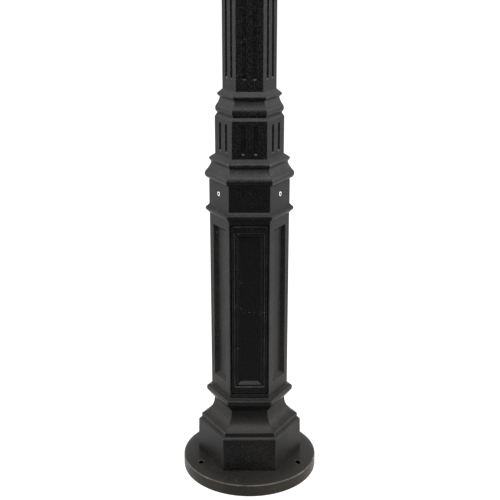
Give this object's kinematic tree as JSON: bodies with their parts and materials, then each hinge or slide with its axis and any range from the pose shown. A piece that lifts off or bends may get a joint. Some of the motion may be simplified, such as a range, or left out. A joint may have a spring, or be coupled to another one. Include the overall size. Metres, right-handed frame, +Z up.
{
  "type": "double head lamp post",
  "caption": "Black hexagonal garden lamp post: round base plate, panelled pedestal with an access door, moulded collars, fluted shaft, and hinged-roof lanterns on curved arms.",
  "frame": {"origin": "middle of the underside of the round base plate, on the post's axis", "axes": "+Z up along the post, +X along the arms to the right as seen from the door side, the door faces -Y"},
  "size_m": [0.8896, 0.251, 2.2337],
  "materials": {
    "iron_black": "satin",
    "cast_black": "satin",
    "screw_steel": "satin",
    "stainless": "satin",
    "black_screw": "satin",
    "seal_rubber": "matte",
    "board_plastic": "matte",
    "block_plastic": "matte",
    "fuse_plastic": "matte",
    "brass": "satin",
    "pane_glass": "gloss",
    "bulb_glass": "gloss",
    "holder_white": "gloss",
    "cap_metal": "satin"
  },
  "bodies": {
    "post": {"base_plate": "iron_black", "pedestal": "iron_black", "collar": "iron_black", "shaft": "cast_black", "capital": "cast_black", "arm_hub": "cast_black", "hub_finial": "cast_black", "arm_left": "cast_black", "arm_right": "cast_black", "lantern_base_left": "cast_black", "lantern_base_right": "cast_black", "lantern_cage_left": "cast_black", "lantern_cage_right": "cast_black", "base_screws": "screw_steel", "board_screws": "screw_steel", "shaft_bolts": "screw_steel", "hub_bolts": "screw_steel", "nipple_left": "screw_steel", "nipple_right": "screw_steel", "nipple_nut_left": "screw_steel", "nipple_nut_right": "screw_steel", "cage_screws_left": "screw_steel", "cage_screws_right": "screw_steel", "collar_set_screws": "stainless", "capital_set_screws": "stainless", "hinge_pin_left": "stainless", "hinge_pin_right": "stainless", "arm_bolts_left": "black_screw", "arm_bolts_right": "black_screw", "terminal_board": "board_plastic", "terminal_block": "block_plastic", "fuse_carrier": "fuse_plastic", "terminal_screws": "brass", "earth_stud": "brass", "glass_panes_left": "pane_glass", "glass_panes_right": "pane_glass", "bulb_left": "bulb_glass", "bulb_right": "bulb_glass", "lamp_holder_left": "holder_white", "lamp_holder_right": "holder_white", "bulb_cap_left": "cap_metal", "bulb_cap_right": "cap_metal"},
    "door": {"access_door": "iron_black", "door_seal": "seal_rubber", "door_screws": "black_screw"},
    "roof_left": {"lantern_roof_left": "cast_black", "roof_finial_left": "cast_black"},
    "roof_right": {"lantern_roof_right": "cast_black", "roof_finial_right": "cast_black"}
  },
  "joints": [
    {"name": "access_door_pull", "type": "slide", "parent": "post", "child": "door", "axis": [0, -1, 0], "range_m": [0, 0.06]},
    {"name": "roof_left_hinge", "type": "hinge", "parent": "post", "child": "roof_left", "pos_m": [-0.30858, 0.125, 2.04023], "axis": [-1, 0, 0], "range_deg": [0, 100]},
    {"name": "roof_right_hinge", "type": "hinge", "parent": "post", "child": "roof_right", "pos_m": [0.30858, 0.125, 2.04023], "axis": [-1, 0, 0], "range_deg": [0, 100]}
  ]
}
